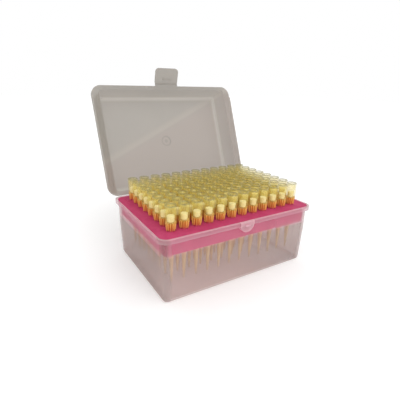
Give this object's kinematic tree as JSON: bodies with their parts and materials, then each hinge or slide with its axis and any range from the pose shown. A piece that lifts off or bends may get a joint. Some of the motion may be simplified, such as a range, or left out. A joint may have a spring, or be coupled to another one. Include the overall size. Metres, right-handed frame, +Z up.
{
  "type": "pipette tip box",
  "caption": "Translucent plastic box with a clip-on hinged lid standing open, a fold-down latch tab, and a perforated rack that holds rows of clear filter pipette tips.",
  "frame": {"origin": "middle of the box's underside, in the plane it stands on", "axes": "+X along the box's long side, +Y from the latch to the hinge, +Z up"},
  "size_m": [0.1284, 0.1361, 0.1399],
  "materials": {
    "shell": "frosted translucent polypropylene",
    "rack": "satin moulded polypropylene, raspberry",
    "tip": "clear polypropylene",
    "filter": "porous polyethylene"
  },
  "bodies": {
    "base": {"base_box": "shell", "tip_rack": "rack", "tips_column_01": "tip", "tips_column_02": "tip", "tips_column_03": "tip", "tips_column_04": "tip", "tips_column_05": "tip", "tips_column_06": "tip", "tips_column_07": "tip", "tips_column_08": "tip", "tips_column_09": "tip", "tips_column_10": "tip", "tips_column_11": "tip", "tips_column_12": "tip", "filters_column_01": "filter", "filters_column_02": "filter", "filters_column_03": "filter", "filters_column_04": "filter", "filters_column_05": "filter", "filters_column_06": "filter", "filters_column_07": "filter", "filters_column_08": "filter", "filters_column_09": "filter", "filters_column_10": "filter", "filters_column_11": "filter", "filters_column_12": "filter"},
    "lid": {"lid": "shell"},
    "latch": {"latch_tab": "shell"}
  },
  "joints": [
    {"name": "lid_hinge", "type": "hinge", "parent": "base", "child": "lid", "pos_m": [0, 0.0435, 0.045], "axis": [1, 0, 0], "range_deg": [0, 111.3]},
    {"name": "latch_fold", "type": "hinge", "parent": "lid", "child": "latch", "pos_m": [0, 0.07603, 0.1272], "axis": [1, 0, 0], "range_deg": [-35, 55], "stiffness_Nm_per_rad": 0.001}
  ]
}
